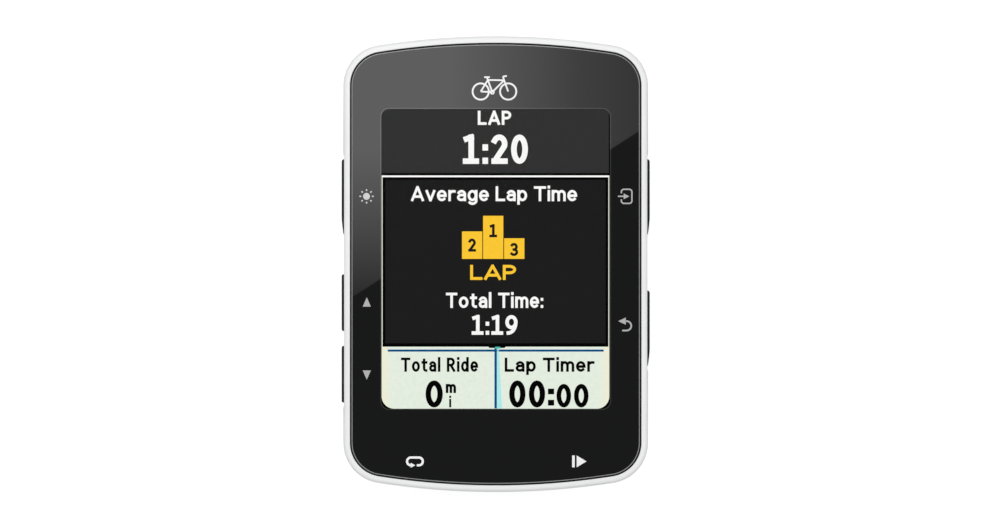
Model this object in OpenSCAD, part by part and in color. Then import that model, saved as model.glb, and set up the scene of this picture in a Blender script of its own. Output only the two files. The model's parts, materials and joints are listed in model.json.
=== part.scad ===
// Cycling computer: a sealed two-part housing with a display, seven buttons and a quarter-turn mount.
// Origin at the centre of the mount's face. +Z points out of the display and +Y to the top of the body.

/* [Body] */
// Width across the front housing
body_w = 48.8; // [48:0.2:51]
// Length of the front housing
body_l = 73; // [72.5:0.5:77]
// Thickness from the mount's face to the rim
body_t = 21; // [20.9:0.1:22]
// Radius of the gentle curve of the two ends
end_r = 122; // [105:1:180]
// Radius of the four corners
corner_r = 6.5; // [6.2:0.1:7.4]
// Height of the seam between the two housings
seam_z = 14.4; // [14.2:0.1:14.8]
// Thickness of the housing walls
wall = 1.6; // [1.5:0.05:1.7]
// Radius of the back housing's rounded lower edge
edge_r = 5.5; // [4.8:0.1:5.5]
// How far the back housing is set in from the front one
step_in = 0.35; // [0.2:0.05:0.45]

/* [Quarter-turn mount] */
// Distance from the body's centre up to the mount's centre
mount_y = 3; // [0:0.5:5]
// Height of the mount
mount_h = 3.4; // [3.3:0.1:3.6]
// Diameter of the mount's round core
core_d = 24.6; // [24:0.1:25]
// Diameter across the two tabs
tab_d = 29.6; // [29:0.1:30]
// Width of a tab
tab_w = 11.5; // [10:0.5:13]
// Thickness of a tab
tab_t = 1.7; // [1.5:0.1:1.9]

/* [Display] */
// Width of the window
window_w = 36.8; // [35:0.1:37]
// Length of the window
window_l = 48.3; // [46:0.1:48.4]
// How far the window's centre is above the body's centre
window_y = 0.74; // [0:0.02:0.9]
// Thickness of the front lens
lens_t = 1; // [0.9:0.05:1]
// Width of the rim around the lens
rim_w = 1; // [0.9:0.05:1.1]

/* [Buttons] */
// Height of every button
button_h = 4; // [3.6:0.1:4.1]
// Length of the power, enter and back buttons
long_button = 12.6; // [11.5:0.1:13]
// Length of the up and down buttons
short_button = 9.4; // [8.5:0.1:9.8]
// Length of the lap and start buttons
end_button = 8; // [7:0.1:8.2]
// How far the side buttons stand beyond the front housing
button_out = 0.35; // [0.2:0.05:0.5]
// How far a button travels
travel = 0.4; // [0.3:0.05:0.4]
// Place of the power and enter buttons along the side
power_y = 10.75; // [10.2:0.05:11.2]
// Place of the up button along the side
up_y = -6.2; // [-6.6:0.1:-5.8]
// Place of the down button along the side
down_y = -17.7; // [-17.9:0.1:-17.3]
// Place of the back button along the side
back_y = -10.35; // [-11:0.05:-9.8]
// Distance of the lap and start buttons from the centre line
end_x = 13.1; // [12.7:0.1:13.2]

/* [Hidden] */

$fn = 48;
half_w = body_w / 2;
half_l = body_l / 2;
gap = 0.05;

// Centres of the corner arcs and of the end arcs, the same for every inset
corner_x = half_w - corner_r;
end_y = half_l - end_r;
corner_y = end_y + sqrt(pow(end_r - corner_r, 2) - pow(corner_x, 2));
corner_a = atan2(corner_y - end_y, corner_x);
corner_steps = 6;
end_steps = 4;

// Back housing
floor_z = mount_h + wall;
edge_z = mount_h + edge_r;
edge_in = step_in + edge_r;
wall_in = step_in + wall;
edge_steps = 6;
tongue_out = 1.7;
tongue_in = 2.7;
tongue_h = 1;
inner_rim_z = seam_z - 0.6;

// Front housing
gasket_t = 0.6;
shoulder_z = seam_z + tongue_h + gasket_t;
shoulder_in = 2.8;
lens_top_z = body_t - 0.15;
lens_z = lens_top_z - lens_t;
print_t = 0.05;
glue_t = 0.1;
seat_z = lens_z - print_t - glue_t;
seat_t = 1.4;
lens_gap = 0.3;
bevel = 0.15;

// Corner fasteners
post_x = corner_x + 0.5;
post_y = corner_y + 0.15;
post_r = 2.6;
boss_r = 2.4;
insert_r = 1.38;
screw_r = 0.8;
head_r = 1.5;
head_h = 1.1;

// Display module
module_w = 40;
module_l = 52.4;
module_z = 17;
tray_t = 0.2;
tray_wall = 0.5;
tray_top = seat_z - 0.3;
panel_w = module_w - 2 * tray_wall - 0.2;
panel_l = module_l - 2 * tray_wall - 0.2;
panel_z = seat_z - 1.3;
panel_t = 1.2;
light_z = module_z + tray_t;
light_t = panel_z - light_z - gap;
flex_w = 11;
flex_t = 0.15;

// Main board
board_z = 12;
board_t = 0.8;
board_top = board_z + board_t;
board_l = 2 * (half_l - 5.1);
board_neck_w = 30.4;
board_neck_y = 25.6;
board_post_x = 18.2;
board_post_top = 21.8;
board_post_low = -23.5;

// Buttons and their switches
button_z = 11.3;
button_r = 1.6;
slot_gap = 0.1;
seal_in = wall_in + 0.03;
flange_in = seal_in + 0.3;
flange_end = flange_in + 0.42;
board_w = body_w - 2 * (flange_end + travel + 0.3);
post_len = 0.35;
pin_r = 0.5;
end_pin_y = -(half_l - 4.85);
switch_w = 3.6;
switch_d = 2.2;
switch_gap = travel + 0.15;
switch_hole = travel + 0.7;
taper = 3.5;
soft_end = 0.7;

// Connector bay and its cover at the lower end
bay_w = 12.4;
bay_y = -(half_l - 3.1);
bay_back = 1.8;
bay_top = 12.9;
bay_block_w = 15.2;
bay_gap = 0.1;
strap_w = 8;
strap_z = 5.2;
hinge_y = -(half_l - 5.05);
anchor_l = 2.8;
port_w = 8.4;
port_h = 4.2;
socket_w = 7.7;
socket_h = 3.85;
socket_l = 9;
socket_y = bay_y + bay_back + 0.1;

// Battery and the pad that carries the mount's screws
pad_z = 6.6;
pad_r = 14;
mount_screw_r = 9.4;
tape_t = 0.2;
battery_w = 31;
battery_l = 44.5;
battery_t = 4.2;
battery_y = 1.75;
battery_z = pad_z + gap + tape_t;
plug_y = 27.2;
wire_x = 1.3;

// Sealing ring between the mount and the housing
mount_seal_r = 7.2;
mount_seal_w = 1;
mount_seal_t = 0.5;

// Small openings through the floor
vent_x = 12;
vent_y = -21;
buzzer_x = -11.5;
buzzer_y = -23.8;

function arc(cx, cy, r, a0, a1, steps) =
    [for (i = [0:steps]) let (a = a0 + (a1 - a0) * i / steps) [cx + r * cos(a), cy + r * sin(a)]];

// A quarter of the outline, from the side to the middle of the end
function quarter(d) = concat(
    arc(corner_x, corner_y, corner_r - d, 0, corner_a, corner_steps),
    [for (i = [1:end_steps]) arc(0, end_y, end_r - d, corner_a, 90, end_steps)[i]]);

function mirrored(points) = [for (i = [len(points) - 2:-1:0]) [-points[i][0], points[i][1]]];

// The body's outline, set in by d all round
function outline(d) = let (top = concat(quarter(d), mirrored(quarter(d)))) concat(top, -top);

// A solid through a list of [inset, height] steps, from the bottom up
module loft(steps) {
    n = len(outline(0));
    last = len(steps) - 1;
    points = [for (s = steps) for (p = outline(s[0])) [p[0], p[1], s[1]]];
    sides = [
        for (k = [0:last - 1])
            for (i = [0:n - 1])
                let (j = (i + 1) % n)
                    [k * n + i, (k + 1) * n + i, (k + 1) * n + j, k * n + j]
    ];
    low = [for (i = [0:n - 1]) i];
    high = [for (i = [n - 1:-1:0]) last * n + i];
    polyhedron(points, concat([low], sides, [high]));
}

// A flat slab of the body's outline
module slab(d, z0, z1) {
    translate([0, 0, z0]) linear_extrude(z1 - z0) polygon(outline(d));
}

// A flat ring that follows the outline from one inset to another
module band(d0, d1, z0, z1) {
    translate([0, 0, z0]) linear_extrude(z1 - z0) difference() {
        polygon(outline(d0));
        polygon(outline(d1));
    }
}

module rounded(w, l, r) {
    square([w - 2 * r, l], center = true);
    square([w, l - 2 * r], center = true);
    for (x = [-1, 1]) for (y = [-1, 1])
        translate([x * (w / 2 - r), y * (l / 2 - r)]) circle(r);
}

module plate(w, l, r, z0, z1) {
    translate([0, 0, z0]) linear_extrude(z1 - z0) rounded(w, l, r);
}

module box(x0, x1, y0, y1, z0, z1) {
    translate([x0, y0, z0]) cube([x1 - x0, y1 - y0, z1 - z0]);
}

module rod(r, z0, z1) {
    translate([0, 0, z0]) cylinder(r = r, h = z1 - z0);
}

// A round ring of outer radius r and width w
module ring(r, w, z0, z1) {
    difference() {
        rod(r, z0, z1);
        rod(r - w, z0 - 1, z1 + 1);
    }
}

module in_body() {
    translate([0, -mount_y, 0]) children();
}

module at_corners() {
    for (x = [-1, 1]) for (y = [-1, 1])
        translate([x * post_x, y * post_y, 0]) children();
}

module at_board_posts() {
    for (x = [-1, 1]) for (y = [board_post_low, board_post_top])
        translate([x * board_post_x, y, 0]) children();
}

module at_mount_screws() {
    for (a = [45:90:315]) rotate(a) translate([mount_screw_r, 0, 0]) children();
}

// Rounded profile of the back housing's lower edge, at a depth t inside its surface
function edge(t) = [for (i = [0:edge_steps]) let (a = 90 * i / edge_steps)
    [edge_in - (edge_r - t) * sin(a), edge_z - (edge_r - t) * cos(a)]];

function back_surface() = concat(edge(0), [[step_in, seam_z]]);
function back_cavity() = concat(edge(wall), [[wall_in, inner_rim_z]]);

function front_surface() = [
    [0.25, seam_z], [0, seam_z + 2.2], [0, body_t - 1.7], [0.07, body_t - 0.8],
    [0.28, body_t - 0.28], [0.62, body_t]
];

// Buttons: a prism with a rounded outline, seen from the side or from the lower end
module side_prism(side, y, len, h, r, d0, d1) {
    x = side > 0 ? half_w - d1 : -(half_w - d0);
    translate([x, y, button_z]) rotate([90, 0, 90]) linear_extrude(d1 - d0) rounded(len, h, r);
}

module end_prism(x, len, h, r, d0, d1) {
    translate([x, -(half_l - d1), button_z]) rotate([90, 0, 0]) linear_extrude(d1 - d0) rounded(len, h, r);
}

// The face of a side button: flat, with a soft upper end and a slope of length low_end at its lower end
module side_face(side, y, len, low_end) {
    x_in = half_w - flange_end;
    x_wall = half_w - step_in;
    x_out = half_w + button_out;
    low = y - len / 2;
    high = y + len / 2;
    face = [
        [x_in, low], [x_wall, low], [x_out, low + low_end],
        [x_out, high - soft_end], [x_wall, high], [x_in, high]
    ];
    translate([0, 0, button_z - button_h / 2]) linear_extrude(button_h)
        polygon([for (p = face) [p[0] * side, p[1]]]);
}

module side_button(side, y, len, low_end) {
    color("#232426") in_body() {
        intersection() {
            side_prism(side, y, len, button_h, button_r, -1, flange_end);
            side_face(side, y, len, low_end);
        }
        side_prism(side, y, len + 1, button_h + 0.6, button_r + 0.3, flange_in, flange_end);
        side_prism(side, y, 1.3, 1.3, 0.64, flange_end - gap, flange_end + post_len);
    }
}

module side_seal(side, y, len) {
    color("#4a4c50") in_body() difference() {
        side_prism(side, y, len + 1, button_h + 0.6, button_r + 0.3, seal_in, flange_in);
        side_prism(side, y, len, button_h, button_r, seal_in - 1, flange_in + 1);
    }
}

module side_pin(side, y, r, d0, d1) {
    x = side > 0 ? half_w - d1 : -(half_w - d0);
    translate([x, y, button_z]) rotate([0, 90, 0]) cylinder(r = r, h = d1 - d0);
}

module side_plunger(side, y) {
    color("#c9b25a") in_body()
        side_pin(side, y, pin_r, flange_end + post_len, flange_end + post_len + switch_gap + 0.5);
}

module side_switch(side, y) {
    d0 = flange_end + post_len + switch_gap;
    x = side > 0 ? half_w - d0 - switch_d : -(half_w - d0);
    difference() {
        box(x, x + switch_d, y - switch_w / 2, y + switch_w / 2, board_z - 1.6, board_z);
        side_pin(side, y, pin_r + gap, d0 - 1, d0 + switch_hole);
    }
}

module end_button(x) {
    color("#232426") in_body() {
        intersection() {
            end_prism(x, end_button, button_h, button_r, -1, 6);
            band(step_in - 0.3, flange_end, button_z - button_h, button_z + button_h);
        }
        intersection() {
            end_prism(x, end_button + 1, button_h + 0.6, button_r + 0.3, -1, 6);
            band(flange_in, flange_end, button_z - button_h, button_z + button_h);
        }
        end_pin(x, 0.65, flange_end - 0.2, half_l + end_pin_y);
    }
}

module end_seal(x) {
    color("#4a4c50") in_body() difference() {
        intersection() {
            end_prism(x, end_button + 1, button_h + 0.6, button_r + 0.3, -1, 6);
            band(seal_in, flange_in, button_z - button_h, button_z + button_h);
        }
        end_prism(x, end_button, button_h, button_r, -1, 6);
    }
}

module end_pin(x, r, d0, d1) {
    translate([x, -(half_l - d1), button_z]) rotate([90, 0, 0]) cylinder(r = r, h = d1 - d0);
}

module end_plunger(x) {
    d0 = half_l + end_pin_y;
    color("#c9b25a") in_body() end_pin(x, pin_r, d0, d0 + switch_gap + 0.5);
}

module end_switch(x) {
    d0 = half_l + end_pin_y + switch_gap;
    y = d0 - half_l;
    difference() {
        box(x - switch_w / 2, x + switch_w / 2, y, y + switch_d, board_z - 1.6, board_z);
        end_pin(x, pin_r + gap, d0 - 1, d0 + switch_hole);
    }
}

module button_switches() {
    color("#8f9296") in_body() {
        for (y = [power_y, up_y, down_y]) side_switch(-1, y);
        for (y = [power_y, back_y]) side_switch(1, y);
        for (x = [-end_x, end_x]) end_switch(x);
    }
}

module power_button() { side_button(-1, power_y, long_button, taper); }
module up_button() { side_button(-1, up_y, short_button, soft_end); }
module down_button() { side_button(-1, down_y, short_button, soft_end); }
module enter_button() { side_button(1, power_y, long_button, taper); }
module back_button() { side_button(1, back_y, long_button, taper); }
module lap_button() { end_button(-end_x); }
module start_button() { end_button(end_x); }
module power_seal() { side_seal(-1, power_y, long_button); }
module up_seal() { side_seal(-1, up_y, short_button); }
module down_seal() { side_seal(-1, down_y, short_button); }
module enter_seal() { side_seal(1, power_y, long_button); }
module back_seal() { side_seal(1, back_y, long_button); }
module lap_seal() { end_seal(-end_x); }
module start_seal() { end_seal(end_x); }
module power_plunger() { side_plunger(-1, power_y); }
module up_plunger() { side_plunger(-1, up_y); }
module down_plunger() { side_plunger(-1, down_y); }
module enter_plunger() { side_plunger(1, power_y); }
module back_plunger() { side_plunger(1, back_y); }
module lap_plunger() { end_plunger(-end_x); }
module start_plunger() { end_plunger(end_x); }

module button_slots() {
    len = long_button + 2 * slot_gap;
    short = short_button + 2 * slot_gap;
    h = button_h + 2 * slot_gap;
    r = button_r + slot_gap;
    for (side = [-1, 1]) side_prism(side, power_y, len, h, r, -1, wall_in + 0.5);
    side_prism(-1, up_y, short, h, r, -1, wall_in + 0.5);
    side_prism(-1, down_y, short, h, r, -1, wall_in + 0.5);
    side_prism(1, back_y, len, h, r, -1, wall_in + 0.5);
    for (x = [-end_x, end_x]) end_prism(x, end_button + 2 * slot_gap, h, r, -1, wall_in + 1.6);
}

// White frame that carries the lens, the display and the threaded inserts
module front_housing() {
    color("#f2f3f4") in_body() difference() {
        loft(front_surface());
        slab(rim_w, seat_z, body_t + 1);
        difference() {
            union() {
                slab(wall, seam_z - 1, shoulder_z);
                slab(shoulder_in, shoulder_z - 1, seat_z - seat_t);
            }
            at_corners() rod(boss_r, seam_z + 0.1, body_t);
        }
        plate(module_w + 0.5, module_l + 0.5, 0.6, seam_z, body_t);
        box(-flex_w / 2 - 0.5, flex_w / 2 + 0.5, -module_l / 2 - 1.3, 0, seam_z, seat_z - 0.6);
        at_corners() rod(insert_r + 0.02, seam_z - 1, seat_z - seat_t);
    }
}

// Black shell that carries the buttons, the board, the battery and the mount
module back_housing() {
    color("#1b1c1e") in_body() difference() {
        union() {
            loft(back_surface());
            slab(tongue_out, seam_z - 0.2, seam_z + tongue_h);
        }
        difference() {
            union() {
                loft(back_cavity());
                slab(tongue_in, inner_rim_z - 1, seam_z + tongue_h + 1);
            }
            back_features();
        }
        button_slots();
        connector_bay();
        at_corners() {
            rod(screw_r + 0.15, 0, body_t);
            rod(head_r + 0.2, 0, mount_h + head_h + 0.3);
        }
        at_board_posts() rod(0.7, floor_z + 1, body_t);
        translate([0, mount_y, 0]) at_mount_screws() rod(0.7, 0, pad_z - 0.4);
        translate([vent_x, vent_y, 0]) rod(0.5, 0, body_t);
        translate([buzzer_x, buzzer_y, 0]) rod(0.6, 0, floor_z + 1);
    }
}

// Posts, pads and blocks that stand up from the floor inside the back housing
module back_features() {
    at_corners() rod(post_r, 0, seam_z - 0.1);
    at_board_posts() rod(1.7, 0, board_z);
    translate([0, mount_y, 0]) rod(pad_r, 0, pad_z);
    box(-bay_block_w / 2, bay_block_w / 2, -half_l, bay_y + bay_back, 0, bay_top + 0.6);
    box(-bay_block_w / 2, bay_block_w / 2, -half_l, hinge_y + anchor_l + 1.4, 0, strap_z + 1.3);
}

// Outline of the cover, seen from the lower end
module cover_prism(w, y0, y1, z1) {
    h = z1 + 3;
    translate([0, y1, z1 - h / 2]) rotate([90, 0, 0]) linear_extrude(y1 - y0) rounded(w, h, 1.5);
}

module connector_bay() {
    cover_prism(bay_w, -half_l - 1, bay_y, bay_top);
    box(-strap_w / 2 - bay_gap, strap_w / 2 + bay_gap, bay_y - 1, hinge_y + anchor_l + bay_gap, 0, strap_z);
    translate([0, bay_y + bay_back + 1, board_z - socket_h / 2])
        rotate([90, 0, 0]) linear_extrude(bay_back + 2) rounded(port_w, port_h, 0.8);
    translate([0, hinge_y + anchor_l / 2 + 0.2, 0]) rod(1.25, 0, strap_z + 2);
}

module usb_cover() {
    color("#2a2b2e") in_body() {
        intersection() {
            loft(back_surface());
            union() {
                cover_prism(bay_w - 2 * bay_gap, -half_l - 1, bay_y - bay_gap, bay_top - bay_gap);
                box(-strap_w / 2, strap_w / 2, bay_y - 1, hinge_y - gap, 0, strap_z - bay_gap);
            }
        }
        translate([0, bay_y + 1.2, board_z - socket_h / 2 + 0.3])
            rotate([90, 0, 0]) linear_extrude(1.6) rounded(6.4, 2.6, 0.6);
    }
}

module cover_anchor() {
    peg_y = hinge_y + anchor_l / 2 + 0.2;
    color("#2a2b2e") in_body() {
        box(-strap_w / 2, strap_w / 2, hinge_y + gap, hinge_y + anchor_l, mount_h + gap, strap_z - gap);
        translate([0, peg_y, 0]) rod(1.2, strap_z - 0.5, strap_z + 1.5);
        translate([0, peg_y, 0]) rod(1.6, strap_z + 1.35, strap_z + 2);
    }
}

module housing_gasket() {
    color("#3d6fb0") in_body()
        band(tongue_out + 0.05, tongue_in - 0.05, seam_z + tongue_h, shoulder_z);
}

module housing_screws() {
    color("#b8bbc0") in_body() at_corners() difference() {
        union() {
            rod(head_r, mount_h + 0.2, mount_h + 0.2 + head_h);
            rod(screw_r, mount_h + head_h, seat_z - seat_t - 0.5);
        }
        translate([0, 0, mount_h - 0.5]) cylinder(r = 0.75, h = 1.3, $fn = 6);
    }
}

module threaded_inserts() {
    color("#c9a24a") in_body() at_corners() difference() {
        rod(insert_r, seam_z + 0.4, seat_z - seat_t - 0.2);
        rod(screw_r + gap, seam_z, seat_z);
    }
}

// Quarter-turn mount: a round core with two tabs at its outer face
module mount_insert() {
    color("#26272a") difference() {
        union() {
            rod(core_d / 2, 0, mount_h);
            linear_extrude(tab_t) intersection() {
                circle(d = tab_d);
                square([tab_d + 2, tab_w], center = true);
            }
        }
        at_mount_screws() rod(0.8, -1, mount_h + 1);
        at_mount_screws() rod(1.55, -1, 1.2);
        ring(6.8, 0.8, -1, 0.3);
        for (x = [-1, 1]) translate([x * tab_d / 2, 0, tab_t]) rotate([0, 90, 0])
            cylinder(r = 0.5, h = 3, center = true);
        ring(mount_seal_r + gap, mount_seal_w + 2 * gap, mount_h - mount_seal_t - gap, mount_h + 1);
    }
}

module mount_screws() {
    color("#b8bbc0") at_mount_screws() difference() {
        union() {
            rod(1.4, 0.25, 1.2);
            rod(0.65, 1, pad_z - 0.6);
        }
        translate([0, 0, -0.5]) cylinder(r = 0.65, h = 1.25, $fn = 6);
    }
}

module mount_gasket() {
    color("#3d6fb0") ring(mount_seal_r, mount_seal_w, mount_h - mount_seal_t, mount_h);
}

module front_lens() {
    color([0.1, 0.11, 0.12, 0.45]) in_body() loft([
        [rim_w + lens_gap, lens_z], [rim_w + lens_gap, lens_top_z - bevel],
        [rim_w + lens_gap + bevel, lens_top_z]
    ]);
}

// Black border printed on the back of the lens
module lens_print() {
    color("#08090a") in_body() difference() {
        slab(rim_w + lens_gap + 0.05, lens_z - print_t, lens_z);
        translate([0, window_y, 0]) plate(window_w, window_l, 1.3, lens_z - 1, lens_z + 1);
    }
}

module lens_adhesive() {
    color("#55585c") in_body() difference() {
        slab(rim_w + lens_gap + 0.1, seat_z, seat_z + glue_t);
        plate(module_w + 1.1, module_l + 1.1, 1, seat_z - 1, lens_z);
    }
}

module display_gasket() {
    color("#2f3033") in_body() difference() {
        plate(panel_w - 0.2, panel_l - 0.2, 0.5, panel_z + panel_t, seat_z + glue_t);
        translate([0, window_y, 0]) plate(window_w + 0.5, window_l + 0.5, 1.3, panel_z, lens_z);
    }
}

module display_panel() {
    color("#9db0a0") in_body() plate(panel_w, panel_l, 0.3, panel_z, panel_z + panel_t);
}

module display_backlight() {
    color("#e8ecf0") in_body() translate([0, 0.7, 0])
        plate(panel_w, panel_l - 1.4, 0.2, light_z, light_z + light_t);
}

module display_frame() {
    color("#a9adb2") in_body() difference() {
        plate(module_w, module_l, 0.5, module_z, tray_top);
        plate(panel_w + 0.1, panel_l + 0.1, 0.3, light_z, body_t);
        box(-flex_w / 2 - 0.4, flex_w / 2 + 0.4, -module_l, -module_l / 2 + 2, panel_z - 0.7, panel_z);
    }
}

// Ribbon from the display's lower edge down to its connector
module display_flex() {
    y0 = -panel_l / 2 + 1;
    y1 = -module_l / 2 - 0.6;
    z0 = panel_z - 0.02;
    z1 = board_top + 1.25;
    y2 = y1 - 1.6;
    t = flex_t;
    color("#b5722c") in_body() translate([-flex_w / 2, 0, 0]) rotate([90, 0, 90]) linear_extrude(flex_w)
        polygon([
            [y0, z0], [y1 - t, z0], [y1 - t, z1 + t], [y2, z1 + t],
            [y2, z1], [y1, z1], [y1, z0 - t], [y0, z0 - t]
        ]);
}

module flex_connector() {
    color("#e6e2d8") in_body()
        translate([0, -module_l / 2 - 2.4, 0]) plate(flex_w + 1.6, 2.2, 0.2, board_top, board_top + 1.2);
}

module main_board() {
    color("#1e5c3a") in_body() translate([0, 0, board_z]) linear_extrude(board_t) difference() {
        union() {
            square([board_w, 2 * board_neck_y], center = true);
            square([board_neck_w, board_l], center = true);
        }
        for (x = [-1, 1]) for (y = [board_post_low, board_post_top])
            translate([x * board_post_x, y]) circle(0.75);
    }
}

module board_screws() {
    color("#b8bbc0") in_body() at_board_posts() {
        rod(1.25, board_top, board_top + 0.7);
        rod(0.62, board_z - 3.5, board_top + 0.2);
    }
}

// A pressed lid with a fine step around its foot
module shield(x, y, w, l, h) {
    translate([x, y, board_top]) {
        linear_extrude(h) rounded(w, l, 0.6);
        linear_extrude(0.4) rounded(w + 0.5, l + 0.5, 0.7);
    }
}

module processor_shield() { color("#c6cacd") in_body() shield(-6, 4, 17, 20, 1.8); }
module radio_shield() { color("#c6cacd") in_body() shield(10, 13, 12, 14, 1.8); }

module board_chips() {
    color("#26282b") in_body() {
        for (y = [-4, 2]) translate([9.5, y - 1, board_top]) linear_extrude(0.9) rounded(5, 4, 0.3);
        translate([-8, -13, board_top]) linear_extrude(1) rounded(7, 7, 0.3);
        translate([2, -13, board_top]) linear_extrude(1.2) rounded(6, 8, 0.3);
        for (x = [-15:2:-5]) box(x, x + 0.8, 17, 18.5, board_top, board_top + 0.5);
        for (y = [-19:2:-9]) box(13.5, 15, y, y + 0.8, board_top, board_top + 0.5);
    }
}

module satellite_antenna() {
    color("#d8cfb8") in_body() box(-7, 7, half_l - 9.6, half_l - 4.2, board_top, board_top + 3.6);
}

module radio_antenna() {
    color("#e2e4e6") in_body() box(9.5, 14.5, half_l - 7.6, half_l - 5.4, board_top, board_top + 1.1);
}

module buzzer() {
    color("#3a3c40") in_body() translate([-13.5, -23, 0]) difference() {
        rod(2.6, board_top, board_top + 1.9);
        rod(0.5, board_top + 1, board_top + 3);
    }
}

module pressure_sensor() {
    color("#caccd0") in_body() translate([12, -23, board_top]) difference() {
        linear_extrude(1.2) rounded(3, 3, 0.4);
        translate([0.6, 0.6, 0.7]) cylinder(r = 0.3, h = 1);
    }
}

module vent_membrane() {
    color("#dfe3e6") in_body() translate([vent_x, vent_y, 0]) rod(2.4, floor_z, floor_z + 0.3);
}

module usb_socket() {
    color("#c3c6c9") in_body() translate([0, socket_y, board_z - socket_h / 2]) rotate([-90, 0, 0])
        difference() {
            linear_extrude(socket_l) rounded(socket_w, socket_h, 0.7);
            translate([0, 0, -1]) linear_extrude(socket_l)
                rounded(socket_w - 0.7, socket_h - 0.7, 0.4);
        }
}

module usb_tongue() {
    mid_z = board_z - socket_h / 2;
    color("#1a1a1c") in_body()
        box(-2.3, 2.3, socket_y + 1.2, socket_y + socket_l - 1, mid_z - 0.4, mid_z + 0.4);
}

module battery() {
    color("#b9bcc2") in_body() translate([0, battery_y, 0]) {
        plate(battery_w, battery_l, 1.2, battery_z, battery_z + battery_t);
    }
}

module battery_tape() {
    color("#e9e6da") in_body() translate([0, battery_y, 0]) plate(20, 24, 1, pad_z + gap, battery_z);
}

module battery_plug() {
    color("#f0ede2") in_body() box(-2.6, 2.6, plug_y, plug_y + 3, board_z - 1.5, board_z);
}

// Two leads that slope up from the end of the battery to the plug
module battery_wires() {
    z0 = battery_z + battery_t - 0.9;
    y0 = battery_y + battery_l / 2;
    rise = board_z - 0.75 - z0;
    run = plug_y - y0;
    color("#b5342c") in_body() for (x = [-wire_x, wire_x]) intersection() {
        translate([x, y0, z0]) rotate([atan2(rise, run) - 90, 0, 0]) translate([0, 0, -2])
            cylinder(r = 0.45, h = run + 5);
        box(-4, 4, y0, plug_y, 0, body_t);
    }
}

front_housing();
back_housing();
housing_gasket();
housing_screws();
threaded_inserts();
mount_insert();
mount_screws();
mount_gasket();
front_lens();
lens_print();
lens_adhesive();
display_gasket();
display_panel();
display_backlight();
display_frame();
display_flex();
power_button();
up_button();
down_button();
enter_button();
back_button();
lap_button();
start_button();
power_seal();
up_seal();
down_seal();
enter_seal();
back_seal();
lap_seal();
start_seal();
power_plunger();
up_plunger();
down_plunger();
enter_plunger();
back_plunger();
lap_plunger();
start_plunger();
button_switches();
main_board();
board_screws();
processor_shield();
radio_shield();
board_chips();
flex_connector();
satellite_antenna();
radio_antenna();
buzzer();
pressure_sensor();
vent_membrane();
usb_socket();
usb_tongue();
usb_cover();
cover_anchor();
battery();
battery_tape();
battery_plug();
battery_wires();
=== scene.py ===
import json
import math

import bmesh
import bpy
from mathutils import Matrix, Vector


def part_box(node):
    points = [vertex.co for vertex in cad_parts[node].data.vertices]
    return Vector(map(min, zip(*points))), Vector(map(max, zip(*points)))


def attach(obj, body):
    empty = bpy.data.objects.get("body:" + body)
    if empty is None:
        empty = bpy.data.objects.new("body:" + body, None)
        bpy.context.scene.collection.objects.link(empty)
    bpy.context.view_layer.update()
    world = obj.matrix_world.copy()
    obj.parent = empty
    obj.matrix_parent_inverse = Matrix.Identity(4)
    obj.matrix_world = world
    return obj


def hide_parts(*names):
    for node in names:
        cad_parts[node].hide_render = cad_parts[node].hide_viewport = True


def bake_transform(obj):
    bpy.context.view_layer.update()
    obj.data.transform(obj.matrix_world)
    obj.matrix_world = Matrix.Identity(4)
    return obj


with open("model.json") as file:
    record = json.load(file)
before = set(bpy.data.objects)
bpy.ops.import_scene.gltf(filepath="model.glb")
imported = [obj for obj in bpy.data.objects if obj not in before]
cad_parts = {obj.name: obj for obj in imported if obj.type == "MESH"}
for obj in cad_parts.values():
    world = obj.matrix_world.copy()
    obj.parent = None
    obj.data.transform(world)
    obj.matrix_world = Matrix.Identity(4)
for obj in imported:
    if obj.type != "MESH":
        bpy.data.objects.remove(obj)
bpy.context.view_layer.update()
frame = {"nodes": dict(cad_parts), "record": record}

MM = 0.001

# ---------------------------------------------------------------- sizes, from the frame, in millimetres


def box_mm(node):
    low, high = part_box(node)
    return low / MM, high / MM


front_low, front_high = box_mm("front_housing")
lens_low, lens_high = box_mm("front_lens")
mount_high = box_mm("mount_insert")[1]

BODY_Y = (front_low.y + front_high.y) / 2
HALF_W = (front_high.x - front_low.x) / 2
HALF_L = (front_high.y - front_low.y) / 2
RIM_TOP = front_high.z
SEAM = front_low.z
MOUNT_TAB_R = mount_high.x
BACK_Z = mount_high.z
BACK_IN = box_mm("back_housing")[0].x - front_low.x
LENS_IN = lens_low.x - front_low.x
LENS_TOP = lens_high.z
LENS_BASE = lens_low.z
PRINT_Z = box_mm("lens_print")[0].z
PANEL_Z = box_mm("display_panel")[1].z

# The body's outline: a corner arc runs into a long arc over each end
CORNER_R = 6.5
END_R = 122.0
CORNER_X = HALF_W - CORNER_R
END_Y = HALF_L - END_R
CORNER_Y = END_Y + math.sqrt((END_R - CORNER_R) ** 2 - CORNER_X ** 2)
CORNER_A = math.atan2(CORNER_Y - END_Y, CORNER_X)
CORNER_STEPS = 20
END_STEPS = 16

EDGE_R = 5.5
WALL = 1.6
BUTTON_R = 1.6

# The display's window and the line round it. WINDOW_Y and MARKS_UP are measured from the body's centre
WINDOW_W = 36.8
WINDOW_L = 48.2
WINDOW_R = 1.3
WINDOW_LINE = 0.16
WINDOW_Y = 0.84
MARKS_UP = 0.1


# ---------------------------------------------------------------- outlines and meshes


def arc(cx, cy, radius, start, end, steps):
    angles = [start + (end - start) * i / steps for i in range(steps + 1)]
    return [(cx + radius * math.cos(a), cy + radius * math.sin(a)) for a in angles]


def four_fold(quarter):
    """A closed outline from its quarter, which runs from the right side to the middle of the top."""
    top = quarter + [(-x, y) for x, y in reversed(quarter[:-1])]
    return top + [(-x, -y) for x, y in top]


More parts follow.
